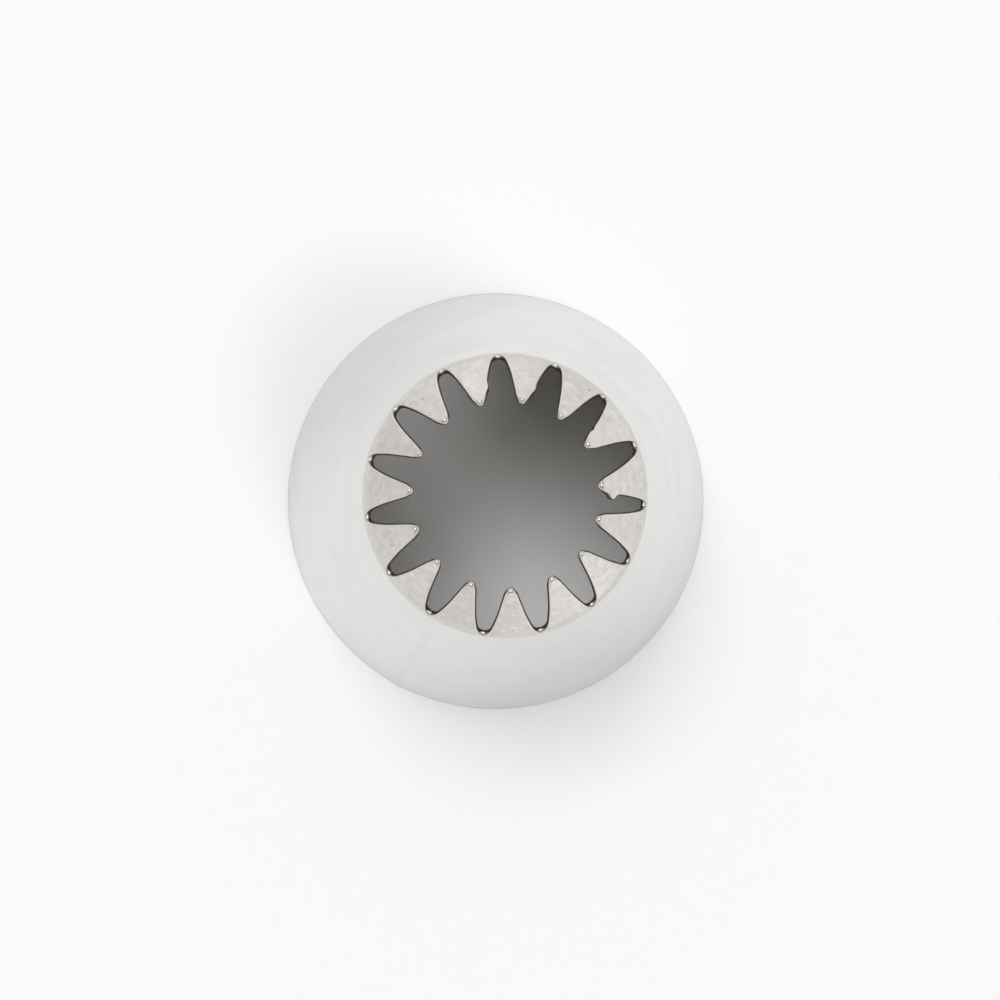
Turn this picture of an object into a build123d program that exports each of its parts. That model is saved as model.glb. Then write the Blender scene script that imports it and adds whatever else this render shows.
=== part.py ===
from build123d import *
from math import cos, degrees, radians, sin, tan
import os

# A large open star piping nozzle that stands on its wide end.
# It is one sheet of stainless steel, rolled into a cone and closed by a butt weld down one side.
# The narrow end is slotted, and the teeth between the slots are bent in to make the star.
# Origin: centre of the base edge, on the table. +Z runs up the nozzle to the mouth.
# Lengths are in millimetres and angles in degrees, counter-clockwise from +X seen from above.

# Cone
base_outer_diameter = 29.0
shoulder_outer_diameter = 18.0  # where the wall's and the teeth's outer faces would meet
overall_height = 36.0
sheet_thickness = 0.45
rim_edge_radius = 0.1  # deburred edge that the nozzle stands on
bend_inside_radius = 0.2  # inside of the bend between the wall and the teeth

# Star
tooth_count = 15
mouth_diameter = 11.5  # clear circle between the tooth tips
tooth_slope = 40.0  # slope of the teeth above the horizontal
first_slot_angle = 92.9
slot_overreach = 0.1  # how far a slot runs past the shoulder, along the slope of the teeth
tooth_end_width = 0.25  # flat at the very tip
tooth_corner_width = 0.51
tooth_corner_depth = 0.06  # below the tip, along the slope
tooth_neck_width = 0.74  # where the rounding of the tip starts
tooth_neck_depth = 0.47
tooth_corner_radius = 0.18
root_fullness_share = 0.6  # how square a slot's round end is, as a share of its half width

# Hand-bent irregularities, as shares of the pitch from tooth to tooth, clockwise positive.
# Each slot is out of place by the first, and each tooth leans to one side by the second.
slot_offset_shares = (0, 0, -0.02, -0.01, 0.03, 0.04, 0.01, 0, 0, -0.01, -0.03, 0, 0, -0.03, -0.01)
tooth_lean_shares = (0.03, 0.09, 0.07, 0.08, -0.05, -0.08, -0.08, 0, 0.01, 0.04, 0.02, -0.02, -0.05, 0, -0.02)

# Seam
seam_angle = 241.5
seam_width = 0.5

# How the sheet is divided between the wall and the crown, and the room that cuts are given
crown_skirt = 1.6  # plain wall kept below the bend, under the slots
cut_overrun = 1.5

# Worked out from the sizes above
base_radius = base_outer_diameter / 2
shoulder_radius = shoulder_outer_diameter / 2
tooth_tilt = radians(tooth_slope)
tooth_edge_radius = mouth_diameter / 2 + sheet_thickness * sin(tooth_tilt)  # outer face, at the tips
shoulder_height = overall_height - (shoulder_radius - tooth_edge_radius) * tan(tooth_tilt)
wall_taper = (base_radius - shoulder_radius) / shoulder_height  # radius lost per unit of height
wall_slant = (1 + wall_taper**2) ** 0.5
wall_normal = Vector(1, wall_taper) / wall_slant  # outward, as (radius, height)
tooth_normal = Vector(sin(tooth_tilt), cos(tooth_tilt))
bend_outside_radius = bend_inside_radius + sheet_thickness
bend_half_turn = wall_normal.get_angle(tooth_normal) / 2
bend_reach = bend_outside_radius * tan(radians(bend_half_turn))  # from the shoulder to the bend's end
bend_start_height = shoulder_height - bend_reach / wall_slant
crown_line = bend_start_height - crown_skirt  # height of the face between wall and crown
pitch = 360 / tooth_count


def sheet_outline():
    """Corners of the sheet's section as (radius, height): up the outside, then down the inside."""
    shoulder = Vector(shoulder_radius, shoulder_height)
    tip = Vector(tooth_edge_radius, overall_height)
    to_inside = (wall_normal + tooth_normal) * (sheet_thickness / (1 + wall_normal.dot(tooth_normal)))
    return {
        "base outside": Vector(base_radius, 0),
        "shoulder outside": shoulder,
        "tip outside": tip,
        "tip inside": tip - tooth_normal * sheet_thickness,
        "shoulder inside": shoulder - to_inside,
        "base inside": Vector(base_radius - sheet_thickness * wall_slant, 0),
    }


def slot_angle(slot):
    """Direction of a slot's centre line. Slots are numbered clockwise."""
    offset_share = slot_offset_shares[slot % len(slot_offset_shares)]
    return first_slot_angle - pitch * (slot + offset_share)


def slot_plane(slot):
    """Plane on the teeth's outer face at a slot: X runs clockwise, Y down the slope to the shoulder."""
    angle = radians(slot_angle(slot))
    edge = Vector(tooth_edge_radius * cos(angle), tooth_edge_radius * sin(angle), overall_height)
    clockwise = Vector(sin(angle), -cos(angle), 0)
    outward = Vector(sin(tooth_tilt) * cos(angle), sin(tooth_tilt) * sin(angle), cos(tooth_tilt))
    return Plane(origin=edge, x_dir=clockwise, z_dir=outward)


def on_slot_plane(depth, turn):
    """Point of the teeth's cone, seen square to the slot's plane.

    depth is measured down the slope from the tips, and turn is the angle from the slot."""
    radius = tooth_edge_radius + depth * cos(tooth_tilt)
    sagged = cos(tooth_tilt) ** 2 * cos(radians(turn)) + sin(tooth_tilt) ** 2
    down_slope = (radius * sagged - tooth_edge_radius) / cos(tooth_tilt)
    return Vector(radius * sin(radians(turn)), down_slope)


def flank_point(depth, tooth_width, tooth_turn):
    """Point on the near flank of the tooth that stands tooth_turn from the slot."""
    radius = tooth_edge_radius + depth * cos(tooth_tilt)
    half_width_turn = degrees(tooth_width / 2 / radius)
    return on_slot_plane(depth, tooth_turn - half_width_turn)


def slot_side(slot, side):
    """Neck, corner and way out of one flank of a slot. side is 1 clockwise, -1 the other way."""
    tooth = slot if side > 0 else slot - 1
    neighbour = slot + side
    gap = side * (slot_angle(slot) - slot_angle(neighbour)) % 360
    lean = pitch * tooth_lean_shares[tooth % len(tooth_lean_shares)]
    tooth_turn = gap / 2 + side * lean
    neck = flank_point(tooth_neck_depth, tooth_neck_width, tooth_turn)
    corner = flank_point(tooth_corner_depth, tooth_corner_width, tooth_turn)
    end = flank_point(0, tooth_end_width, tooth_turn)
    way_out = end + (end - corner).normalized() * tooth_corner_width
    return [Vector(side * point.X, point.Y) for point in (neck, corner, way_out)]


# The whole formed sheet, before it is divided into its nodes
with BuildPart() as formed_sheet:
    corners = sheet_outline()
    with BuildSketch(Plane.XZ) as sheet_section:
        with BuildLine():
            Polyline(*corners.values(), close=True)
        make_face()
        for name, radius in (
            ("shoulder outside", bend_outside_radius),
            ("shoulder inside", bend_inside_radius),
            ("base outside", rim_edge_radius),
            ("base inside", rim_edge_radius),
        ):
            fillet(sheet_section.vertices().sort_by_distance(corners[name])[0], radius)
    revolve(axis=Axis.Z)

    slope_length = (shoulder_radius - tooth_edge_radius) / cos(tooth_tilt)
    root = Vector(0, slope_length + slot_overreach)
    for slot in range(tooth_count):
        right_neck, right_corner, right_out = slot_side(slot, 1)
        left_neck, left_corner, left_out = slot_side(slot, -1)
        with BuildSketch(slot_plane(slot)) as slot_outline:
            with BuildLine():
                Bezier(root, Vector(root_fullness_share * right_neck.X, root.Y), right_neck)
                Polyline(
                    right_neck,
                    right_corner,
                    right_out,
                    Vector(right_out.X, -cut_overrun),
                    Vector(left_out.X, -cut_overrun),
                    left_out,
                    left_corner,
                    left_neck,
                )
                Bezier(left_neck, Vector(root_fullness_share * left_neck.X, root.Y), root)
            make_face()
            for corner in (right_corner, left_corner):
                fillet(slot_outline.vertices().sort_by_distance(corner)[0], tooth_corner_radius)
        extrude(amount=cut_overrun, both=True, mode=Mode.SUBTRACT)

# The gap between the rolled edges, which the weld fills up to the bend
with BuildPart() as seam_gap:
    along_seam = Vector(cos(radians(seam_angle)), sin(radians(seam_angle)))
    with BuildSketch(Plane(origin=(0, 0, -cut_overrun), x_dir=along_seam, z_dir=(0, 0, 1))):
        with Locations((base_radius / 2 + cut_overrun, 0)):
            Rectangle(base_radius, seam_width)
    extrude(amount=bend_start_height + cut_overrun)

# Wall: the tapering body, from the base edge to just below the slots
with BuildPart() as cone_wall:
    add(formed_sheet.part)
    split(bisect_by=Plane.XY.offset(crown_line), keep=Keep.BOTTOM)
    add(seam_gap.part, mode=Mode.SUBTRACT)

# Crown: the bend and the ring of teeth
with BuildPart() as star_crown:
    add(formed_sheet.part)
    split(bisect_by=Plane.XY.offset(crown_line), keep=Keep.TOP)
    add(seam_gap.part, mode=Mode.SUBTRACT)

# Weld: the strip that joins the rolled edges, dressed flush inside and out
with BuildPart() as seam_weld:
    add(formed_sheet.part)
    add(seam_gap.part, mode=Mode.INTERSECT)

os.makedirs("parts", exist_ok=True)
for label, piece in (("cone_wall", cone_wall), ("star_crown", star_crown), ("seam_weld", seam_weld)):
    piece.part.label = label
    export_step(piece.part, f"parts/{label}.step")
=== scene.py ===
"""Finishes an open star piping nozzle of stainless steel and sets it on a pale table.

The sheet's section, its slots and its seam are worked out as surfaces in numpy, in metres, +Z up.
"""

import bmesh
import bpy
import numpy as np
from mathutils import Matrix, Vector


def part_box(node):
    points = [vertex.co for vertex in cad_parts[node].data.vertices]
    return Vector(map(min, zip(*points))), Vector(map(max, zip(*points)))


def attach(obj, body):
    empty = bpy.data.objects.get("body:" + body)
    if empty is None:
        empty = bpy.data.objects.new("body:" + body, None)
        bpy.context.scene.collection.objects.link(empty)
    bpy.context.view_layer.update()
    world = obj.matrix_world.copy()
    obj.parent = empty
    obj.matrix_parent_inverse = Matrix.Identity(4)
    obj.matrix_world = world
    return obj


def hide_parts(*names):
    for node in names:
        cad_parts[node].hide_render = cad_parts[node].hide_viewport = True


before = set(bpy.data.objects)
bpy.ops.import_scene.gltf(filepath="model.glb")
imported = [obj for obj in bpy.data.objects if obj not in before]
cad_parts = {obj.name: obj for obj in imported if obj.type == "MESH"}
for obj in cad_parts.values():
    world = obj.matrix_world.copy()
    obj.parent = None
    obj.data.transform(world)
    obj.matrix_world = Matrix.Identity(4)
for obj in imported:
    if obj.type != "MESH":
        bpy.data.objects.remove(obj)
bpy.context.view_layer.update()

bl_info = {
    "name": "Open Star Nozzle",
    "version": (1, 0, 0),
    "blender": (4, 5, 0),
    "location": "View3D > Sidebar > Nozzle",
    "description": "Makes the finished surfaces of an open star piping nozzle",
    "category": "Add Mesh",
}

MM = 0.001
BODY = "root"

# Digits that the panel shows of a length
LENGTH_DIGITS = 5

# Hand-bent irregularities, as shares of the pitch from tooth to tooth, clockwise positive
SLOT_OFFSET_SHARES = (0, 0, -0.02, -0.01, 0.03, 0.04, 0.01, 0, 0, -0.01, -0.03, 0, 0, -0.03, -0.01)
TOOTH_LEAN_SHARES = (
    0.03, 0.09, 0.07, 0.13, -0.05, -0.08, -0.08, 0, 0.01, 0.04, 0.02, -0.02, -0.05, 0, -0.02,
)

# Burrs and nicks on the flanks: tooth, side (clockwise positive), then in millimetres the place
# from the tip, the reach (a nick is negative) and half the length. Teeth count clockwise from
# the first slot.
FLANK_MARKS = (
    (3, 1, 0.8, 0.36, 0.3),
    (2, -1, 1.05, -0.07, 0.14),
    (2, -1, 0.6, 0.05, 0.22),
    (0, 1, 1.05, 0.11, 0.35),
    (14, 1, 1.05, 0.12, 0.35),
)

# Rows, columns and steps of the surfaces' grids
SKIRT_ROWS = 12
SLOT_ROWS = 72
TOOTH_COLUMNS = 16
EDGE_STEPS = 13
WALL_ROWS = 40
WALL_COLUMNS = 400
RIM_STEPS = 6
WELD_ROWS = 240
WELD_COLUMNS = 8

# Points nearer than the one are merged, and edges sharper than the other stay sharp
MERGE_DISTANCE = 1e-7
SHARP_ANGLE = np.radians(40)

# The weld's ripples: their share of its rise, and how far they bow at its edges, in radians
RIPPLE_SHARE = 0.3
RIPPLE_BOW = 2

# The crown's finishes, in the order of its material slots. The last one's dark colour is partly
# painted shade.
# The fourth one's brown tint is painted warm light.
POLISHED, GROUND, SHEARED, ROLLED_WARM_LIT, TORN_AND_SHADED = range(5)

# Sockets of a Mix node, by number, as their names repeat. They are the factor, then A, B and the
# result for numbers and for colours.
MIX_FACTOR = 0
NUMBER_A, NUMBER_B, NUMBER_OUT = 2, 3, 0
COLOUR_A, COLOUR_B, COLOUR_OUT = 6, 7, 2

# Noise: how fine its detail goes, and the range that it seldom leaves
NOISE_DETAIL = 3.0
NOISE_LOW, NOISE_HIGH = 0.3, 0.7

# The room that the steel mirrors: direction in degrees from +X, and brightness there. The
# brightnesses were found by trial.
ROOM_SHADES = (
    (-180, 0.93),
    (-160, 0.96),
    (-135, 1.07),
    (-114, 0.93),
    (-95, 0.98),
    (-75, 1.1),
    (-48, 1.32),
    (-30, 1.15),
    (-12, 1.05),
    (15, 1.1),
    (40, 1.12),
    (58, 0.98),
    (78, 1.1),
    (105, 1.23),
    (125, 1.02),
    (155, 0.86),
    (180, 0.93),
)

# The ceiling's brightness, and the rises, as sines, between which the room fades to it
CEILING = 0.15
CEILING_START, CEILING_END = 0.42, 0.75

# Softboxes: name, direction and rise in degrees, share of full white that each gives a white
# table, side in metres, and whether steel mirrors it. The front one would put a second bright
# spot on every cut face, so steel does not mirror it.
LAMP_DISTANCE = 1.5
SOFTBOXES = (
    ("overhead_softbox", 111, 77.3, 0.41, 0.5, True),
    ("front_softbox", 315, 72.6, 0.17, 0.3, False),
)

# The table's size in metres, the camera's sensor in millimetres and its range in metres
TABLE_HALF_SIDE = 1.2
SENSOR_WIDTH = 36
CLIP_START, CLIP_END = 0.01, 20


def linear(hex_colour):
    """Turns an sRGB hex colour into linear red, green and blue."""
    srgb = np.array([int(hex_colour[i : i + 2], 16) for i in (1, 3, 5)]) / 255
    low, high = srgb / 12.92, ((srgb + 0.055) / 1.055) ** 2.4
    return tuple(float(c) for c in np.where(srgb <= 0.04045, low, high))


def shaded(colour, share):
    """A linear colour made darker or brighter by a share, at most white, with an alpha of 1."""
    return (*(min(c * share, 1) for c in colour), 1)


class NozzleSheet(bpy.types.PropertyGroup):
    """Sizes of the formed sheet and its seam."""

    thickness: bpy.props.FloatProperty(
        name="Sheet Thickness",
        description="Thickness of the steel",
        default=0.45 * MM,
        unit="LENGTH",
        precision=LENGTH_DIGITS,
    )
    bend_radius: bpy.props.FloatProperty(
        name="Bend Radius",
        description="Outside of the bend at the shoulder",
        default=1.2 * MM,
        unit="LENGTH",
        precision=LENGTH_DIGITS,
    )
    rim_radius: bpy.props.FloatProperty(
        name="Rim Radius",
        description="Rounding of the base edge",
        default=0.1 * MM,
        unit="LENGTH",
        precision=LENGTH_DIGITS,
    )
    seam_angle: bpy.props.FloatProperty(
        name="Seam Angle",
        description="Direction of the seam",
        default=np.radians(241.5),
        unit="ROTATION",
    )
    seam_width: bpy.props.FloatProperty(
        name="Seam Width",
        description="Width of the weld",
        default=0.5 * MM,
        unit="LENGTH",
        precision=LENGTH_DIGITS,
    )
    seam_ridge: bpy.props.FloatProperty(
        name="Seam Ridge",
        description="How far the rolled edges stand out at the seam",
        default=0.1 * MM,
        unit="LENGTH",
        precision=LENGTH_DIGITS,
    )
    ridge_fade: bpy.props.FloatProperty(
        name="Ridge Fade",
        description="Turn over which the ridge dies away",
        default=np.radians(6),
        unit="ROTATION",
    )
    weld_rise: bpy.props.FloatProperty(
        name="Weld Rise",
        description="How proud the dressed weld stands",
        default=0.005 * MM,
        unit="LENGTH",
        precision=LENGTH_DIGITS,
    )
    weld_ripple: bpy.props.FloatProperty(
        name="Weld Ripple",
        description="Pitch of the ripples in the weld",
        default=0.35 * MM,
        unit="LENGTH",
        precision=LENGTH_DIGITS,
    )
    weld_end: bpy.props.FloatProperty(
        name="Weld End",
        description="Length over which the weld's top end sinks in",
        default=0.8 * MM,
        unit="LENGTH",
        precision=LENGTH_DIGITS,
    )
    weld_sink: bpy.props.FloatProperty(
        name="Weld Sink",
        description="How deep the weld's top end lies",
        default=0.03 * MM,
        unit="LENGTH",
        precision=LENGTH_DIGITS,
    )


class NozzleStar(bpy.types.PropertyGroup):
    """Sizes of the slots and teeth."""

    tooth_count: bpy.props.IntProperty(
        name="Teeth",
        description="Teeth round the mouth",
        default=15,
        min=3,
    )
    tooth_slope: bpy.props.FloatProperty(
        name="Tooth Slope",
        description="Slope of the teeth above the horizontal",
        default=np.radians(40),
        unit="ROTATION",
    )
    mouth_diameter: bpy.props.FloatProperty(
        name="Mouth Diameter",
        description="Clear circle between the tooth tips",
        default=11.5 * MM,
        unit="LENGTH",
        precision=LENGTH_DIGITS,
    )
    first_slot: bpy.props.FloatProperty(
        name="First Slot",
        description="Direction of the first slot",
        default=np.radians(92.9),
        unit="ROTATION",
    )
    slot_half_width: bpy.props.FloatProperty(
        name="Slot Half Width",
        description="Half the slot's width beside its round end",
        default=0.43 * MM,
        unit="LENGTH",
        precision=LENGTH_DIGITS,
    )
    slot_widening: bpy.props.FloatProperty(
        name="Slot Widening",
        description="Half width gained per unit of length",
        default=0.115,
        subtype="FACTOR",
    )
    slot_round: bpy.props.FloatProperty(
        name="Slot Round End",
        description="Length of the slot's round end",
        default=2.4 * MM,
        unit="LENGTH",
        precision=LENGTH_DIGITS,
    )
    slot_bluntness: bpy.props.FloatProperty(
        name="Slot Bluntness",
        description="2 makes the slot's end an ellipse, more makes it blunter",
        default=2.15,
        min=1,
    )
    tip_round: bpy.props.FloatProperty(
        name="Tip Round End",
        description="Length of a tooth's round tip",
        default=0.45 * MM,
        unit="LENGTH",
        precision=LENGTH_DIGITS,
    )
    cut_edge: bpy.props.FloatProperty(
        name="Cut Edge",
        description="How far the round-backed cut faces bulge",
        default=0.12 * MM,
        unit="LENGTH",
        precision=LENGTH_DIGITS,
    )
    tip_edge: bpy.props.FloatProperty(
        name="Tip Edge",
        description="How far the cut faces bulge at the teeth's tips",
        default=0.2 * MM,
        unit="LENGTH",
        precision=LENGTH_DIGITS,
    )
    cut_crest: bpy.props.FloatProperty(
        name="Cut Crest",
        description="Where the bulge is highest, as a share of the thickness",
        default=0.45,
        subtype="FACTOR",
    )
    sheared_share: bpy.props.FloatProperty(
        name="Sheared Share",
        description="Bright upper part of a cut face, above the torn part",
        default=0.17,
        subtype="FACTOR",
    )
    polished_share: bpy.props.FloatProperty(
        name="Polished Share",
        description="Bright part at slot ends and tips, which tumbling rubs most",
        default=0.58,
        subtype="FACTOR",
    )
    end_crest: bpy.props.FloatProperty(
        name="End Crest",
        description="Where it is highest at slot ends and tips, as a share of the thickness",
        default=0.62,
        subtype="FACTOR",
    )
    end_reach: bpy.props.FloatProperty(
        name="End Reach",
        description="Length over which the rubbing dies away from a slot's end",
        default=0.55 * MM,
        unit="LENGTH",
        precision=LENGTH_DIGITS,
    )


class NozzleFinish(bpy.types.PropertyGroup):
    """Colours of the steel and the table."""

    wall: bpy.props.FloatVectorProperty(
        name="Wall",
        description="Polished sheet",
        subtype="COLOR",
        default=linear("#D4D4D1"),
        min=0,
        max=1,
    )
    # The inside's brown tint is painted warm light inside the nozzle
    inside: bpy.props.FloatVectorProperty(
        name="Inside",
        description="Sheet as it was rolled",
        subtype="COLOR",
        default=linear("#D8D3CA"),
        min=0,
        max=1,
    )
    crown: bpy.props.FloatVectorProperty(
        name="Crown",
        description="Ground sheet round the mouth",
        subtype="COLOR",
        default=linear("#D6D2CD"),
        min=0,
        max=1,
    )
    # The cut faces' lower part: dull steel, its dark colour partly painted shade along the slots'
    # edges
    torn_and_shaded: bpy.props.FloatVectorProperty(
        name="Torn Edge",
        description="Torn part of the cut faces",
        subtype="COLOR",
        default=linear("#827E79"),
        min=0,
        max=1,
    )
    weld: bpy.props.FloatVectorProperty(
        name="Weld",
        description="Dressed weld",
        subtype="COLOR",
        default=linear("#D4D4D1"),
        min=0,
        max=1,
    )
    table: bpy.props.FloatVectorProperty(
        name="Table",
        description="Matt white table",
        subtype="COLOR",
        default=linear("#FAFAFA"),
        min=0,
        max=1,
    )


class NozzleStage(bpy.types.PropertyGroup):
    """Where the camera and the lights stand."""

    camera_height: bpy.props.FloatProperty(
        name="Camera Height",
        description="Above the table",
        default=377 * MM,
        unit="LENGTH",
    )
    camera_offset: bpy.props.FloatVectorProperty(
        name="Camera Offset",
        description="Camera's place from the nozzle's axis",
        size=2,
        default=(-6.7 * MM, -4.0 * MM),
        unit="LENGTH",
    )
    aim: bpy.props.FloatVectorProperty(
        name="Aim",
        description="Point of the table in the middle of the view",
        size=2,
        default=(0.29 * MM, 0.08 * MM),
        unit="LENGTH",
    )
    lens: bpy.props.FloatProperty(
        name="Lens",
        description="Focal length in millimetres",
        default=194.7,
    )
    fill: bpy.props.FloatProperty(
        name="Fill",
        description="Light of the room on matt things",
        default=0.44,
    )


def add_node(tree, kind, settings=None, links=None):
    """Adds one shader node, gives its properties and inputs their values and links its inputs."""
    node = tree.nodes.new(kind)
    for key, value in (settings or {}).items():
        if isinstance(key, int) or key in node.inputs:
            node.inputs[key].default_value = value
        else:
            setattr(node, key, value)
    for key, socket in (links or {}).items():
        tree.links.new(socket, node.inputs[key])
    return node


def new_material(name):
    """An empty node material and its output node."""
    material = bpy.data.materials.new(name)
    material.use_nodes = True
    material.node_tree.nodes.clear()
    return material, add_node(material.node_tree, "ShaderNodeOutputMaterial")


def streaks(tree, along_z, across_z, turn=(0, 0, 0)):
    """Fine lines: noise drawn out to one length along Z and to another one across it."""
    place = add_node(tree, "ShaderNodeTexCoord")
    squeeze = add_node(
        tree,
        "ShaderNodeMapping",
        {"Rotation": turn, "Scale": (1 / across_z, 1 / across_z, 1 / along_z)},
        {"Vector": place.outputs["Object"]},
    )
    noise = add_node(
        tree,
        "ShaderNodeTexNoise",
        {"Scale": 1.0, "Detail": NOISE_DETAIL},
        {"Vector": squeeze.outputs["Vector"]},
    )
    return noise.outputs["Fac"]


def clouds(tree, size, low, high):
    """Soft patches of one size, as a value between low and high."""
    place = add_node(tree, "ShaderNodeTexCoord")
    noise = add_node(
        tree,
        "ShaderNodeTexNoise",
        {"Scale": 1 / size, "Detail": NOISE_DETAIL},
        {"Vector": place.outputs["Object"]},
    )
    spread = add_node(
        tree,
        "ShaderNodeMapRange",
        {"From Min": NOISE_LOW, "From Max": NOISE_HIGH, "To Min": low, "To Max": high},
        {"Value": noise.outputs["Fac"]},
    )
    return spread.outputs["Result"]


def polished_wall_steel(colour):
    """Stainless steel sheet, satin polished on a lathe: a soft mirror with lines that run round it.

    A grit's lines lie about 0.03 mm apart. They are drawn 0.12 mm and 0.3 mm apart, so that they
    show. Under them the sheet is very slightly uneven, which softens what it mirrors."""
    material, output = new_material("polished_stainless_sheet")
    tree = material.node_tree
    lines = streaks(tree, along_z=0.12 * MM, across_z=9 * MM)
    line_bump = add_node(
        tree,
        "ShaderNodeBump",
        {"Strength": 1.0, "Distance": 0.00008 * MM},
        {"Height": lines},
    )
    peel = clouds(tree, size=1.6 * MM, low=0, high=1)
    bump = add_node(
        tree,
        "ShaderNodeBump",
        {"Strength": 1.0, "Distance": 0.00025 * MM},
        {"Height": peel, "Normal": line_bump.outputs["Normal"]},
    )
    satin = streaks(tree, along_z=0.3 * MM, across_z=16 * MM)
    tint = add_node(
        tree,
        "ShaderNodeMix",
        {"data_type": "RGBA", COLOUR_A: shaded(colour, 0.93), COLOUR_B: shaded(colour, 1.07)},
        {MIX_FACTOR: satin},
    )
    shader = add_node(
        tree,
        "ShaderNodeBsdfPrincipled",
        {"Metallic": 1.0},
        {
            "Base Color": tint.outputs[COLOUR_OUT],
            "Roughness": clouds(tree, size=4 * MM, low=0.17, high=0.23),
            "Normal": bump.outputs["Normal"],
        },
    )
    tree.links.new(shader.outputs["BSDF"], output.inputs["Surface"])
    return material


def rolled_inside_warm_lit_steel(colour):
    """Inside of the stainless sheet, unpolished: a soft mirror, a little browner than the wall as
    painted warm light.

    Rolling marks are finer than 0.1 mm. They are drawn 0.3 mm apart, so that they show."""
    material, output = new_material("cold_rolled_warm_lit_stainless_sheet")
    tree = material.node_tree
    lines = streaks(tree, along_z=0.3 * MM, across_z=9 * MM)
    bump = add_node(
        tree,
        "ShaderNodeBump",
        {"Strength": 1.0, "Distance": 0.0002 * MM},
        {"Height": lines},
    )
    shader = add_node(
        tree,
        "ShaderNodeBsdfPrincipled",
        {"Base Color": (*colour, 1), "Metallic": 1.0},
        {
            "Roughness": clouds(tree, size=2 * MM, low=0.18, high=0.26),
            "Normal": bump.outputs["Normal"],
        },
    )
    tree.links.new(shader.outputs["BSDF"], output.inputs["Surface"])
    return material


def ground_crown_steel(colour):
    """Stainless steel ground after slotting: warmer and duller, with fine crossing scratches.

    Such scratches lie about 0.05 mm apart. They are drawn 0.15 to 0.18 mm apart, so that they show.
    The deepest are bright, soft patches between them are more or less worn, and a few small dark
    pits lie about 1.5 mm apart or more."""
    material, output = new_material("ground_stainless_sheet")
    tree = material.node_tree
    rings = streaks(tree, along_z=0.18 * MM, across_z=1.1 * MM, turn=(0.2, -0.3, 0))
    hatch = streaks(tree, along_z=0.15 * MM, across_z=0.8 * MM, turn=(0.6, 1.0, 0.3))
    both = add_node(tree, "ShaderNodeMath", {"operation": "MAXIMUM"}, {0: rings, 1: hatch})
    bump = add_node(
        tree,
        "ShaderNodeBump",
        {"Strength": 1.0, "Distance": 0.0012 * MM},
        {"Height": both.outputs["Value"]},
    )
    scratches = add_node(
        tree,
        "ShaderNodeMapRange",
        {"From Min": 0.58, "From Max": 0.74, "To Min": 0.0, "To Max": 0.6},
        {"Value": both.outputs["Value"]},
    )
    patches = add_node(
        tree,
        "ShaderNodeMath",
        {"operation": "ADD"},
        {0: clouds(tree, size=0.45 * MM, low=0.0, high=0.6), 1: scratches.outputs["Result"]},
    )
    pit_spacing, pit_core, pit_edge = 1.5 * MM, 0.03 * MM, 0.09 * MM
    place = add_node(tree, "ShaderNodeTexCoord")
    cells = add_node(
        tree,
        "ShaderNodeTexVoronoi",
        {"Scale": 1 / pit_spacing},
        {"Vector": place.outputs["Object"]},
    )
    unpitted = add_node(
        tree,
        "ShaderNodeMapRange",
        {
            "From Min": pit_core / pit_spacing,
            "From Max": pit_edge / pit_spacing,
            "To Min": 0.4,
            "To Max": 1.0,
        },
        {"Value": cells.outputs["Distance"]},
    )
    tint = add_node(
        tree,
        "ShaderNodeMix",
        {"data_type": "RGBA", COLOUR_A: shaded(colour, 0.9), COLOUR_B: shaded(colour, 1.14)},
        {MIX_FACTOR: patches.outputs["Value"]},
    )
    pitted = add_node(
        tree,
        "ShaderNodeVectorMath",
        {"operation": "SCALE"},
        {0: tint.outputs[COLOUR_OUT], "Scale": unpitted.outputs["Result"]},
    )
    shader = add_node(
        tree,
        "ShaderNodeBsdfPrincipled",
        {"Metallic": 1.0},
        {
            "Base Color": pitted.outputs["Vector"],
            "Roughness": clouds(tree, size=0.6 * MM, low=0.3, high=0.42),
            "Normal": bump.outputs["Normal"],
        },
    )
    tree.links.new(shader.outputs["BSDF"], output.inputs["Surface"])
    return material


def sheared_edge_steel(colour):
    """Upper part of a cut face, taken as sheared and then tumbled: bright, with small marks."""
    material, output = new_material("tumbled_cut_edge")
    tree = material.node_tree
    marks = streaks(tree, along_z=0.25 * MM, across_z=0.05 * MM)
    bump = add_node(
        tree,
        "ShaderNodeBump",
        {"Strength": 1.0, "Distance": 0.0004 * MM},
        {"Height": marks},
    )
    shader = add_node(
        tree,
        "ShaderNodeBsdfPrincipled",
        {"Base Color": (*colour, 1), "Metallic": 1.0},
        {
            "Roughness": clouds(tree, size=0.3 * MM, low=0.3, high=0.38),
            "Normal": bump.outputs["Normal"],
        },
    )
    tree.links.new(shader.outputs["BSDF"], output.inputs["Surface"])
    return material


def torn_and_shaded_edge_steel(colour):
    """Lower part of a cut face, taken as a tear instead of a shear: dull, and its dark colour
    partly painted shade.
    """
    material, output = new_material("torn_and_shaded_cut_edge")
    tree = material.node_tree
    shader = add_node(
        tree,
        "ShaderNodeBsdfPrincipled",
        {"Base Color": (*colour, 1), "Metallic": 1.0},
        {"Roughness": clouds(tree, size=0.15 * MM, low=0.38, high=0.5)},
    )
    tree.links.new(shader.outputs["BSDF"], output.inputs["Surface"])
    return material


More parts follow.
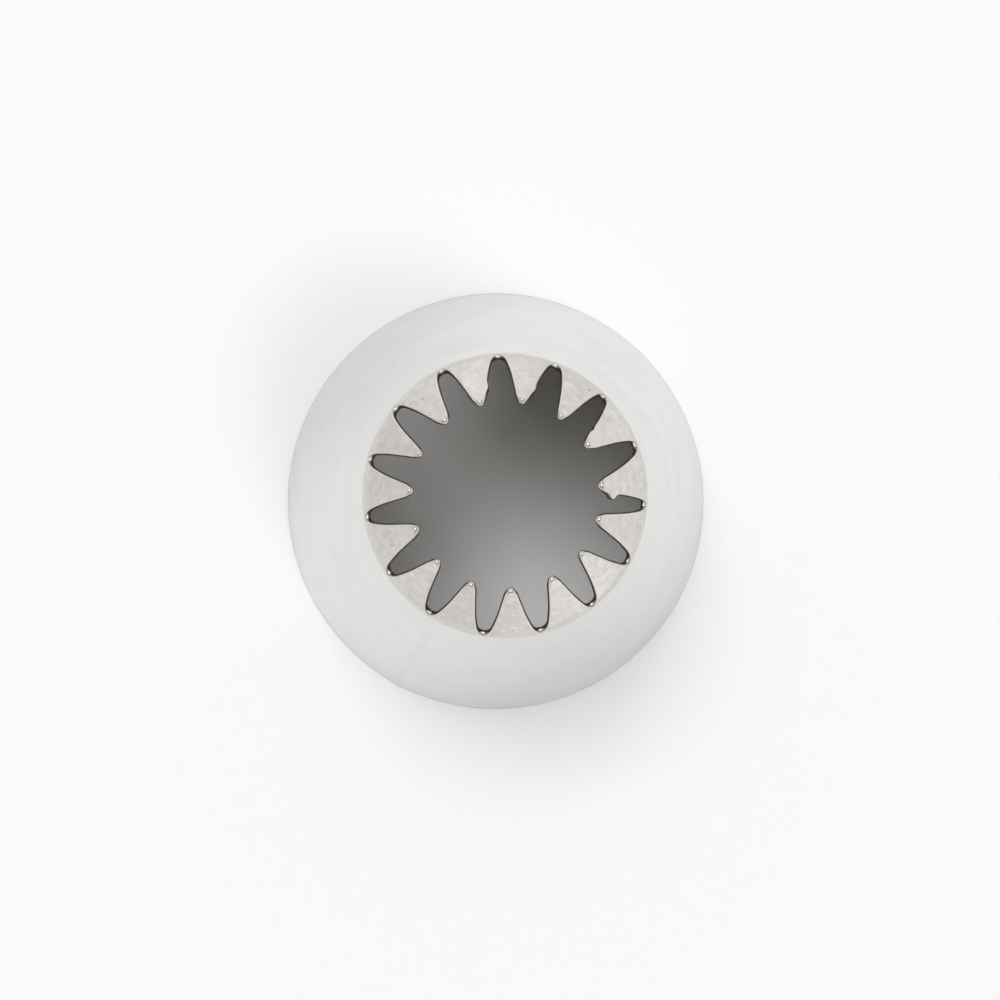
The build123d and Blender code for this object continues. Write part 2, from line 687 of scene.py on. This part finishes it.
def dressed_weld_steel(colour):
    """Fused stainless steel, dressed along the seam: as bright as the wall, with lines up and down.

    A belt's lines lie about 0.04 mm apart. They are drawn 0.08 mm apart, so that they show."""
    material, output = new_material("dressed_stainless_weld")
    tree = material.node_tree
    lines = streaks(tree, along_z=4 * MM, across_z=0.08 * MM)
    bump = add_node(
        tree,
        "ShaderNodeBump",
        {"Strength": 1.0, "Distance": 0.0003 * MM},
        {"Height": lines},
    )
    shader = add_node(
        tree,
        "ShaderNodeBsdfPrincipled",
        {"Base Color": (*colour, 1), "Metallic": 1.0},
        {
            "Roughness": clouds(tree, size=0.8 * MM, low=0.19, high=0.27),
            "Normal": bump.outputs["Normal"],
        },
    )
    tree.links.new(shader.outputs["BSDF"], output.inputs["Surface"])
    return material


def white_table(colour):
    """Matt white laminate: no gloss, so that it shows only the nozzle's soft shadow."""
    material, output = new_material("matt_white_laminate")
    tree = material.node_tree
    shader = add_node(
        tree,
        "ShaderNodeBsdfPrincipled",
        {"Base Color": (*colour, 1), "Roughness": 1.0, "Specular IOR Level": 0.0},
    )
    tree.links.new(shader.outputs["BSDF"], output.inputs["Surface"])
    return material


def formed_sheet(scene):
    """Lengths and directions of the sheet's section, from the CAD boxes and the panel's sizes.

    The wall line runs from the base to the crown line, and on to the shoulder, where it meets the
    line of the teeth. A round bend joins the two lines.
    """
    sheet, star = scene.nozzle_sheet, scene.nozzle_star
    wall_low, wall_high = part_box("cone_wall")
    crown_low, crown_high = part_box("star_crown")
    base_radius = min(wall_high.x, wall_high.y, -wall_low.x, -wall_low.y)
    line_radius = (crown_high.x - crown_low.x) / 2
    line_height = crown_low.z
    taper = (base_radius - line_radius) / (line_height - sheet.rim_radius)
    slant = np.hypot(1, taper)
    wall_along = np.array([-taper, 1]) / slant
    wall_out = np.array([1, taper]) / slant
    slope = star.tooth_slope
    tooth_along = np.array([-np.cos(slope), np.sin(slope)])
    tooth_out = np.array([np.sin(slope), np.cos(slope)])
    tip = np.array([star.mouth_diameter / 2 + sheet.thickness * np.sin(slope), crown_high.z])
    line_point = np.array([line_radius, line_height])
    steps = np.linalg.solve(np.column_stack([wall_along, -tooth_along]), tip - line_point)
    shoulder = line_point + steps[0] * wall_along
    turn = np.arccos(wall_out @ tooth_out)
    reach = sheet.bend_radius * np.tan(turn / 2)
    return {
        "taper": taper,
        "slant": slant,
        "base_radius": base_radius + taper * sheet.rim_radius,
        "line_height": line_height,
        "line_point": line_point,
        "wall_along": wall_along,
        "wall_out": wall_out,
        "tooth_along": tooth_along,
        "bend_centre": shoulder - reach * wall_along - sheet.bend_radius * wall_out,
        "bend_start": steps[0] - reach,
        "bend_length": sheet.bend_radius * turn,
        "bend_top": shoulder + reach * tooth_along,
        "length": steps[0] - 2 * reach + sheet.bend_radius * turn - steps[1],
        "thickness": sheet.thickness,
        "bend_radius": sheet.bend_radius,
        "rim_radius": sheet.rim_radius,
    }


def section(form, along):
    """Place and outward direction of the sheet's outer face, as radius and height.

    along is the length from the crown line: first up the wall line, then round the bend, where the
    direction turns by length over radius, and last up the line of the teeth.
    """
    along = np.asarray(along, float)[..., None]
    wall = form["line_point"] + along * form["wall_along"]
    bent = np.clip(along - form["bend_start"], 0, form["bend_length"])
    turned = bent / form["bend_radius"]
    outward = np.cos(turned) * form["wall_out"] + np.sin(turned) * form["wall_along"]
    bend = form["bend_centre"] + form["bend_radius"] * outward
    past = along - form["bend_start"] - form["bend_length"]
    tooth = form["bend_top"] + past * form["tooth_along"]
    place = np.where(past > 0, tooth, np.where(along > form["bend_start"], bend, wall))
    return place, outward


def seam_lift(scene, angle):
    """How far the sheet stands out of round: ridge * exp(-turn from the seam / fade)."""
    sheet = scene.nozzle_sheet
    away = np.abs((angle - sheet.seam_angle + np.pi) % (2 * np.pi) - np.pi)
    return sheet.seam_ridge * np.exp(-away / sheet.ridge_fade)


def ridge_share(form, along):
    """Share of the seam's ridge that is left above the crown line: (1 - length / bend start)^2."""
    return np.clip(1 - np.clip(along, 0, None) / form["bend_start"], 0, 1) ** 2


def ring_point(radius, angle, height):
    """Points from their radius, angle and height, as one array."""
    x, y = radius * np.cos(angle), radius * np.sin(angle)
    return np.stack(np.broadcast_arrays(x, y, height), axis=-1)


def grid_faces(first, rows, columns, closed=False):
    """Four-sided faces of a grid of points numbered from first, row by row, with rows going up."""
    wide = columns if closed else columns - 1
    row, column = np.meshgrid(np.arange(rows - 1), np.arange(wide), indexing="ij")
    following = (column + 1) % columns
    corners = (row * columns + column, row * columns + following)
    upper = (corners[1] + columns, corners[0] + columns)
    return first + np.stack([*corners, *upper], axis=-1).reshape(-1, 4)


def make_piece(name, points, faces, materials, face_materials, node):
    """Builds one closed piece of the nozzle, merged and smooth, and lets it ride on the body."""
    mesh = bpy.data.meshes.new(name)
    mesh.from_pydata(points.reshape(-1, 3).tolist(), [], faces.tolist())
    for material in materials:
        mesh.materials.append(material)
    mesh.polygons.foreach_set("material_index", np.asarray(face_materials, np.int32))
    work = bmesh.new()
    work.from_mesh(mesh)
    bmesh.ops.remove_doubles(work, verts=work.verts, dist=MERGE_DISTANCE)
    bmesh.ops.recalc_face_normals(work, faces=work.faces)
    work.to_mesh(mesh)
    work.free()
    mesh.shade_smooth()
    mesh.set_sharp_from_angle(angle=SHARP_ANGLE)
    piece = bpy.data.objects.new(name, mesh)
    bpy.context.scene.collection.objects.link(piece)
    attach(piece, BODY)
    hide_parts(node)


def rim_heights(form):
    """Heights of the wall's rows: a quarter circle at the rim, then even steps up."""
    turn = np.linspace(0, np.pi / 2, RIM_STEPS)
    rim = form["rim_radius"] * (1 - np.cos(turn))
    straight = np.linspace(form["rim_radius"], form["line_height"], WALL_ROWS)
    return np.concatenate([rim, straight[1:]])


def wall_radii(form, height):
    """Outer and inner radius of the wall at a height, drawn in at the rim by its rounding.

    The outer one is base radius - taper * height, and the rounding draws both in by
    rim - sqrt(rim^2 - (rim - height)^2)."""
    rim = form["rim_radius"]
    below = np.clip(rim - height, 0, rim)
    drawn_in = rim - np.sqrt(rim**2 - below**2)
    outer = form["base_radius"] - form["taper"] * height
    inner = outer - form["thickness"] * form["slant"]
    return outer - drawn_in, inner + drawn_in


class NOZZLE_OT_cone_wall(bpy.types.Operator):
    """Rolled wall of the nozzle, from the base edge to the crown line"""

    bl_idname = "nozzle.cone_wall"
    bl_label = "Cone Wall"

    def execute(self, context):
        """The section's outer and inner line, carried round the axis from the seam to the seam.

        The inner line has the rolled finish."""
        scene = context.scene
        form = formed_sheet(scene)
        sheet = scene.nozzle_sheet
        height = rim_heights(form)
        outer, inner = wall_radii(form, height)
        profile_radius = np.concatenate([outer, inner[::-1], outer[:1]])
        profile_height = np.concatenate([height, height[::-1], height[:1]])
        half_gap = np.arcsin(sheet.seam_width / 2 / profile_radius)
        share = np.linspace(0, 1, WALL_COLUMNS)
        angle = sheet.seam_angle + half_gap[:, None] + share * (2 * np.pi - 2 * half_gap[:, None])
        radius = profile_radius[:, None] + seam_lift(scene, angle)
        points = ring_point(radius, angle, profile_height[:, None])
        faces = grid_faces(0, len(profile_height), WALL_COLUMNS)
        rows = len(height)
        ends = [self.end_faces(rows, 0, False), self.end_faces(rows, WALL_COLUMNS - 1, True)]
        strip = np.arange(len(profile_height) - 1)
        kinds = np.repeat((strip >= rows) & (strip < 2 * rows - 1), WALL_COLUMNS - 1)
        faces = np.concatenate([faces, *ends])
        kinds = np.concatenate([kinds, np.zeros(len(faces) - len(kinds))])
        finish = scene.nozzle_finish
        steels = [polished_wall_steel(finish.wall), rolled_inside_warm_lit_steel(finish.inside)]
        make_piece("cone_wall_sheet", points, faces, steels, kinds, "cone_wall")
        return {"FINISHED"}

    @staticmethod
    def end_faces(rows, column, turned):
        """The cut face beside the seam: the outer line's points joined to the inner line's."""
        row = np.arange(rows - 1)
        outer = row * WALL_COLUMNS + column
        inner = (2 * rows - 1 - row) * WALL_COLUMNS + column
        faces = np.stack([outer, outer + WALL_COLUMNS, inner - WALL_COLUMNS, inner], axis=-1)
        return faces[:, ::-1] if turned else faces


class NOZZLE_OT_star_crown(bpy.types.Operator):
    """Bend and ring of teeth round the mouth"""

    bl_idname = "nozzle.star_crown"
    bl_label = "Star Crown"

    def execute(self, context):
        """One grid for each tooth's outer and inner face, and a rounded strip along all the slots.

        Near slot ends and tips, which tumbling rubs most, the strip's crest and its bright share go
        over to their values there, and near tips it bulges further. The inner face's skirt starts a
        little higher along the section, so that it stands level with the outer one."""
        scene = context.scene
        form = formed_sheet(scene)
        star = scene.nozzle_star
        along, root_row = self.rows(form, star)
        angle = self.tooth_angles(form, star, along, root_row)
        outer, outward = self.face_points(scene, form, along, angle, 0)
        start = form["thickness"] * form["wall_out"][1] / form["wall_along"][1]
        root = along[root_row]
        inner_along = np.where(along < root, start + along * (1 - start / root), along)
        inner, _ = self.face_points(scene, form, inner_along, angle, form["thickness"])
        path = self.slot_path(angle.shape, root_row)
        path_along = along[path // TOOTH_COLUMNS % len(along)]
        at_tip = self.tip_share(star, along[-1] - path_along)
        rubbed = self.end_share(star, path_along - root) + at_tip
        bulge = star.cut_edge + (star.tip_edge - star.cut_edge) * at_tip
        crest = form["thickness"] * (star.cut_crest + (star.end_crest - star.cut_crest) * rubbed)
        sheared = star.sheared_share + (star.polished_share - star.sheared_share) * rubbed
        edge, edge_outward = outer.reshape(-1, 3)[path], outward.reshape(-1, 3)[path]
        strip = self.edge_strip(edge, edge_outward, bulge, crest, form["thickness"])
        points = np.concatenate([part.reshape(-1, 3) for part in (outer, inner, strip)])
        sheet_faces, strip_faces = self.faces(angle.shape, len(path), strip.shape[1])
        faces = np.concatenate([sheet_faces, strip_faces])
        finish = scene.nozzle_finish
        steels = [
            polished_wall_steel(finish.wall),
            ground_crown_steel(finish.crown),
            sheared_edge_steel(finish.crown),
            rolled_inside_warm_lit_steel(finish.inside),
            torn_and_shaded_edge_steel(finish.torn_and_shaded),
        ]
        row_kinds = np.where(np.arange(len(along) - 1) < root_row, POLISHED, GROUND)
        outer_kinds = np.tile(np.repeat(row_kinds, TOOTH_COLUMNS - 1), star.tooth_count)
        inner_kinds = np.full(len(sheet_faces) - len(outer_kinds), ROLLED_WARM_LIT)
        # Below the bright share a cut face takes the dark finish, which is partly painted shade
        face_middles = np.arange(0.5, EDGE_STEPS - 1) / (EDGE_STEPS - 1)
        strip_kinds = np.where(face_middles > sheared[:, None], TORN_AND_SHADED, SHEARED).ravel()
        kinds = np.concatenate([outer_kinds, inner_kinds, strip_kinds])
        make_piece("star_crown_teeth", points, faces, steels, kinds, "star_crown")
        return {"FINISHED"}

    @staticmethod
    def end_share(star, length):
        """How near a length is to a slot's end, from 0 to 1: exp(-(length / end reach)^2)."""
        return np.exp(-((length / star.end_reach) ** 2))

    @staticmethod
    def tip_share(star, length):
        """How near a length is to a tooth's tip, from 0 to 1: exp(-(2 * length / tip round)^2)."""
        return np.exp(-((2 * length / star.tip_round) ** 2))

    @staticmethod
    def rows(form, star):
        """Lengths along the section at the rows, closer together at slot ends and tips.

        A slot runs to the start of the bend. The sheet's faces stop short of it, and of the tips,
        by the bulge of the cut face. Even steps up the skirt are followed by shares of
        (1 - cos(turn)) / 2."""
        root = form["bend_start"] - star.cut_edge
        tip = form["length"] - star.tip_edge
        share = (1 - np.cos(np.linspace(0, np.pi, SLOT_ROWS))) / 2
        skirt = np.linspace(0, root, SKIRT_ROWS)
        return np.concatenate([skirt, root + (tip - root) * share[1:]]), SKIRT_ROWS - 1

    @staticmethod
    def tooth_angles(form, star, along, root_row):
        """Angles of the grid's points, by tooth, row and column.

        A slot's half width is a rounded start, then a line: (width + widening * length) times
        (1 - (1 - share of the round end)^2)^(1 / bluntness). A tooth's tip is the same with a power
        of 1/2, less the extra bulge of its cut face. A burr or a nick is a bell curve,
        exp(-(length / half length)^2), added to one side of a tooth, but not at the very tip, where
        both sides meet."""
        count = star.tooth_count
        pitch = 2 * np.pi / count
        number = np.arange(count + 1)
        offset = np.resize(SLOT_OFFSET_SHARES, count)[number % count]
        slots = star.first_slot - pitch * (number + offset)
        low, high = slots[:0:-1, None], slots[-2::-1, None]
        lean = pitch * np.resize(TOOTH_LEAN_SHARES, count)[::-1, None]
        place, _ = section(form, along)
        radius = place[:, 0]
        beyond = np.clip(along - along[root_row], 0, None)
        left = along[-1] - along
        round_share = np.clip(beyond / (star.slot_round + star.cut_edge), 0, 1)
        rounded = (1 - (1 - round_share) ** 2) ** (1 / star.slot_bluntness)
        half_width = star.slot_half_width + star.cut_edge + star.slot_widening * beyond
        half_slot = half_width * rounded / radius
        pointed = np.sqrt(1 - (1 - np.clip(left / star.tip_round, 0, 1)) ** 2)
        middle = (low + high) / 2 - lean * beyond / beyond[-1]
        tip_share = NOZZLE_OT_star_crown.tip_share(star, left)
        rounder = (star.tip_edge - star.cut_edge) * tip_share / radius
        half_tooth = ((high - low) / 2 - half_slot - rounder) * pointed
        flanks = {1: middle - half_tooth, -1: middle + half_tooth}
        for tooth, side, from_tip, reach, half_length in FLANK_MARKS:
            bell = np.exp(-(((left - from_tip * MM) / (half_length * MM)) ** 2)) * (left > 0)
            flanks[side][count - 1 - tooth] -= side * reach * MM * bell / radius
        share = np.linspace(0, 1, TOOTH_COLUMNS)
        return flanks[1][..., None] + (flanks[-1] - flanks[1])[..., None] * share

    @staticmethod
    def face_points(scene, form, along, angle, depth):
        """Points of the sheet at a depth under its outer face, and the outward directions there."""
        place, out = section(form, along)
        radius = (place[:, 0] - depth * out[:, 0])[:, None]
        height = (place[:, 1] - depth * out[:, 1])[:, None]
        fade = ridge_share(form, along)[:, None]
        points = ring_point(radius + fade * seam_lift(scene, angle), angle, height)
        return points, ring_point(out[:, 0][:, None], angle, out[:, 1][:, None])

    @staticmethod
    def slot_path(shape, root_row):
        """Numbers of the points along the slots' edge: down one tooth's side, up the next one's."""
        teeth, rows, columns = shape
        tooth = np.arange(teeth)[:, None]
        down = np.arange(rows - 1, root_row - 1, -1)
        up = np.arange(root_row + 1, rows - 1)
        falling = (tooth * rows + down) * columns + columns - 1
        rising = ((tooth + 1) % teeth * rows + up) * columns
        return np.concatenate([falling, rising], axis=1).ravel()

    @staticmethod
    def edge_strip(points, outward, bulge, crest, thickness):
        """The cut face, tumbled round and carried along the slots' edge.

        Across the sheet it is a quarter ellipse up to its crest and another one down from it:
        bulge * sin(turn) out, and crest - rest * cos(turn) down, where the rest is the depth to the
        crest on its upper side and the depth left under it on its lower side."""
        onward = np.roll(points, -1, axis=0) - np.roll(points, 1, axis=0)
        onward /= np.linalg.norm(onward, axis=1, keepdims=True)
        into_slot = np.cross(outward, onward)
        into_slot /= np.linalg.norm(into_slot, axis=1, keepdims=True)
        turn = np.linspace(0, np.pi, EDGE_STEPS)
        out = bulge[:, None] * np.sin(turn)
        crest = crest[:, None]
        depth = crest - np.where(turn < np.pi / 2, crest, thickness - crest) * np.cos(turn)
        bulged = points[:, None] + into_slot[:, None] * out[..., None]
        return bulged - outward[:, None] * depth[..., None]

    @staticmethod
    def faces(shape, path_length, strip_columns):
        """Faces of the outer and inner grids and the ring under them, and of the strip.

        The strip closes on itself."""
        teeth, rows, columns = shape
        one = rows * columns
        outer = np.concatenate([grid_faces(tooth * one, rows, columns) for tooth in range(teeth)])
        total = teeth * one
        inner = outer[:, ::-1] + total
        bottom = (np.arange(teeth)[:, None] * one + np.arange(columns - 1)).ravel()
        ring = np.stack([bottom, bottom + total, bottom + total + 1, bottom + 1], axis=-1)
        step = np.arange(path_length)
        following = (step + 1) % path_length
        across = np.arange(strip_columns - 1)
        near = (step[:, None] * strip_columns + across).ravel()
        far = (following[:, None] * strip_columns + across).ravel()
        strip = 2 * total + np.stack([near, far, far + 1, near + 1], axis=-1)
        return np.concatenate([outer, inner, ring]), strip


class NOZZLE_OT_seam_weld(bpy.types.Operator):
    """Weld that joins the rolled edges, from the base to the bend"""

    bl_idname = "nozzle.seam_weld"
    bl_label = "Seam Weld"

    def execute(self, context):
        """A flat strip with a low round back, carried up the seam.

        Its rise is (1 - across^2) * (1 + ripple share * sin(2 pi height / pitch + bow)). Its upper
        end sinks into the sheet under the bend, by the square of the length that is gone."""
        scene = context.scene
        form = formed_sheet(scene)
        sheet = scene.nozzle_sheet
        top = form["line_height"] + form["bend_start"] * form["wall_along"][1]
        height = np.linspace(0, top, WELD_ROWS)[:, None]
        outer, inner = wall_radii(form, height)
        across = np.linspace(-1, 1, WELD_COLUMNS)
        phase = 2 * np.pi * height / sheet.weld_ripple + RIPPLE_BOW * across**2
        ripple = 1 + RIPPLE_SHARE * np.sin(phase)
        left = np.clip((top - height) / sheet.weld_end, 0, 1)
        sink = sheet.weld_sink * (1 - left) ** 2
        rise = sheet.weld_rise * (1 - across**2) * ripple * left - sink
        crossing = across * sheet.seam_width / 2
        beside = sheet.seam_angle + np.arcsin(sheet.seam_width / 2 / outer)
        along = (height - form["line_height"]) / form["wall_along"][1]
        lift = seam_lift(scene, beside) * ridge_share(form, along)
        outside = np.stack(np.broadcast_arrays(outer + lift + rise, crossing, height), axis=-1)
        inside = np.stack(np.broadcast_arrays(inner + lift - rise, crossing, height), axis=-1)
        loop = np.concatenate([outside, inside[:, ::-1]], axis=1)
        cos, sin = np.cos(sheet.seam_angle), np.sin(sheet.seam_angle)
        turn = np.array([[cos, sin, 0], [-sin, cos, 0], [0, 0, 1]])
        around = 2 * WELD_COLUMNS
        faces = grid_faces(0, WELD_ROWS, around, closed=True)
        column = np.arange(WELD_COLUMNS - 1)
        bottom = np.stack([column, around - 1 - column, around - 2 - column, column + 1], axis=-1)
        last = (WELD_ROWS - 1) * around
        faces = np.concatenate([faces, bottom, bottom[:, ::-1] + last])
        steels = [dressed_weld_steel(scene.nozzle_finish.weld)]
        kinds = np.zeros(len(faces))
        make_piece("seam_weld_strip", loop @ turn, faces, steels, kinds, "seam_weld")
        return {"FINISHED"}


def soft_lamp(name, direction, rise, share, side, mirrored):
    """A square softbox that faces the nozzle from a direction and a rise above the table.

    Its power gives a white table its share of full white: share * pi^2 * distance^2 / sin(rise)."""
    angle, rise = np.radians(direction), np.radians(rise)
    data = bpy.data.lights.new(name, "AREA")
    data.shape = "SQUARE"
    data.size = side
    data.energy = share * np.pi**2 * LAMP_DISTANCE**2 / np.sin(rise)
    lamp = bpy.data.objects.new(name, data)
    away = Vector((np.cos(angle) * np.cos(rise), np.sin(angle) * np.cos(rise), np.sin(rise)))
    lamp.location = away * LAMP_DISTANCE
    lamp.rotation_euler = away.to_track_quat("Z", "Y").to_euler()
    lamp.visible_camera = False
    lamp.visible_glossy = mirrored
    bpy.context.scene.collection.objects.link(lamp)


def studio_room(world, fill):
    """A white room: matt things get the fill light, and the camera sees it as white.

    What steel mirrors of it, and what would be seen through clear things, changes round the room,
    as walls with windows do, and goes darker towards the ceiling."""
    world.use_nodes = True
    tree = world.node_tree
    tree.nodes.clear()
    output = add_node(tree, "ShaderNodeOutputWorld")
    path = add_node(tree, "ShaderNodeLightPath")
    seen = add_node(
        tree,
        "ShaderNodeMath",
        {"operation": "MAXIMUM"},
        {0: path.outputs["Is Camera Ray"], 1: path.outputs["Is Glossy Ray"]},
    )
    shown = add_node(
        tree,
        "ShaderNodeMath",
        {"operation": "MAXIMUM"},
        {0: seen.outputs["Value"], 1: path.outputs["Is Transmission Ray"]},
    )
    place = add_node(tree, "ShaderNodeTexCoord")
    to_room = {"Vector": place.outputs["Generated"]}
    direction = add_node(tree, "ShaderNodeSeparateXYZ", links=to_room)
    angle = add_node(
        tree,
        "ShaderNodeMath",
        {"operation": "ARCTAN2"},
        {0: direction.outputs["Y"], 1: direction.outputs["X"]},
    )
    round_share = add_node(
        tree,
        "ShaderNodeMapRange",
        {"From Min": -np.pi, "From Max": np.pi},
        {"Value": angle.outputs["Value"]},
    )
    side = add_node(tree, "ShaderNodeValToRGB", links={"Fac": round_share.outputs["Result"]})
    side.color_ramp.interpolation = "EASE"
    stops = side.color_ramp.elements
    for _ in ROOM_SHADES[2:]:
        stops.new(1)
    for stop, (degrees, shade) in zip(stops, ROOM_SHADES):
        stop.position = (degrees + 180) / 360
        stop.color = (shade, shade, shade, 1)
    ceiling = add_node(
        tree,
        "ShaderNodeMapRange",
        {"From Min": CEILING_START, "From Max": CEILING_END, "To Min": 1.0, "To Max": CEILING},
        {"Value": direction.outputs["Z"]},
    )
    shades = add_node(
        tree,
        "ShaderNodeMath",
        {"operation": "MULTIPLY"},
        {0: side.outputs["Color"], 1: ceiling.outputs["Result"]},
    )
    steel_sees = add_node(
        tree,
        "ShaderNodeMix",
        {"data_type": "FLOAT", NUMBER_B: 1.0},
        {MIX_FACTOR: path.outputs["Is Camera Ray"], NUMBER_A: shades.outputs["Value"]},
    )
    level = add_node(
        tree,
        "ShaderNodeMix",
        {"data_type": "FLOAT", NUMBER_A: fill},
        {MIX_FACTOR: shown.outputs["Value"], NUMBER_B: steel_sees.outputs[NUMBER_OUT]},
    )
    strength = {"Strength": level.outputs[NUMBER_OUT]}
    room = add_node(tree, "ShaderNodeBackground", {"Color": (1, 1, 1, 1)}, strength)
    tree.links.new(room.outputs["Background"], output.inputs["Surface"])


class NOZZLE_OT_stage(bpy.types.Operator):
    """Table, soft lights, room and camera"""

    bl_idname = "nozzle.stage"
    bl_label = "Stage"

    def execute(self, context):
        """The camera looks down on the mouth, with the image's top along +Y."""
        scene = context.scene
        stage = scene.nozzle_stage
        mesh = bpy.data.meshes.new("table_top")
        signs = ((-1, -1), (1, -1), (1, 1), (-1, 1))
        corners = [(x * TABLE_HALF_SIDE, y * TABLE_HALF_SIDE, 0) for x, y in signs]
        mesh.from_pydata(corners, [], [(0, 1, 2, 3)])
        mesh.materials.append(white_table(scene.nozzle_finish.table))
        table = bpy.data.objects.new("table_top", mesh)
        scene.collection.objects.link(table)

        for softbox in SOFTBOXES:
            soft_lamp(*softbox)
        world = scene.world or bpy.data.worlds.new("studio")
        scene.world = world
        studio_room(world, stage.fill)

        data = bpy.data.cameras.new("camera")
        data.lens = stage.lens
        data.sensor_width = SENSOR_WIDTH
        data.clip_start, data.clip_end = CLIP_START, CLIP_END
        camera = bpy.data.objects.new("camera", data)
        eye = Vector((*stage.camera_offset, stage.camera_height))
        back = (eye - Vector((*stage.aim, 0))).normalized()
        right = Vector((0, 1, 0)).cross(back).normalized()
        up = back.cross(right)
        facing = Matrix((right, up, back)).transposed().to_4x4()
        camera.matrix_world = Matrix.Translation(eye) @ facing
        scene.collection.objects.link(camera)
        scene.camera = camera
        scene.view_settings.view_transform = "Standard"
        return {"FINISHED"}


class NOZZLE_PT_sidebar(bpy.types.Panel):
    """Lists the nozzle's pieces and sizes"""

    bl_idname = "NOZZLE_PT_sidebar"
    bl_label = "Open Star Nozzle"
    bl_space_type = "VIEW_3D"
    bl_region_type = "UI"
    bl_category = "Nozzle"

    def draw(self, context):
        """One box of sizes for each group, then a button for each operator."""
        layout = self.layout
        for group in GROUPS:
            settings = getattr(context.scene, group)
            box = layout.box()
            for name in settings.__annotations__:
                box.prop(settings, name)
        for operator in OPERATORS:
            layout.operator(operator.bl_idname)


GROUPS = {
    "nozzle_sheet": NozzleSheet,
    "nozzle_star": NozzleStar,
    "nozzle_finish": NozzleFinish,
    "nozzle_stage": NozzleStage,
}
OPERATORS = (NOZZLE_OT_cone_wall, NOZZLE_OT_star_crown, NOZZLE_OT_seam_weld, NOZZLE_OT_stage)


def register():
    """Registers the classes and hangs the property groups on the scene."""
    for item in (*GROUPS.values(), *OPERATORS, NOZZLE_PT_sidebar):
        bpy.utils.register_class(item)
    for name, group in GROUPS.items():
        setattr(bpy.types.Scene, name, bpy.props.PointerProperty(type=group))


def unregister():
    """Takes the property groups and the classes away again."""
    for name in GROUPS:
        delattr(bpy.types.Scene, name)
    for item in (NOZZLE_PT_sidebar, *reversed(OPERATORS), *reversed(GROUPS.values())):
        bpy.utils.unregister_class(item)


def main():
    register()
    bpy.ops.nozzle.cone_wall()
    bpy.ops.nozzle.star_crown()
    bpy.ops.nozzle.seam_weld()
    bpy.ops.nozzle.stage()


if __name__ == "__main__":
    main()
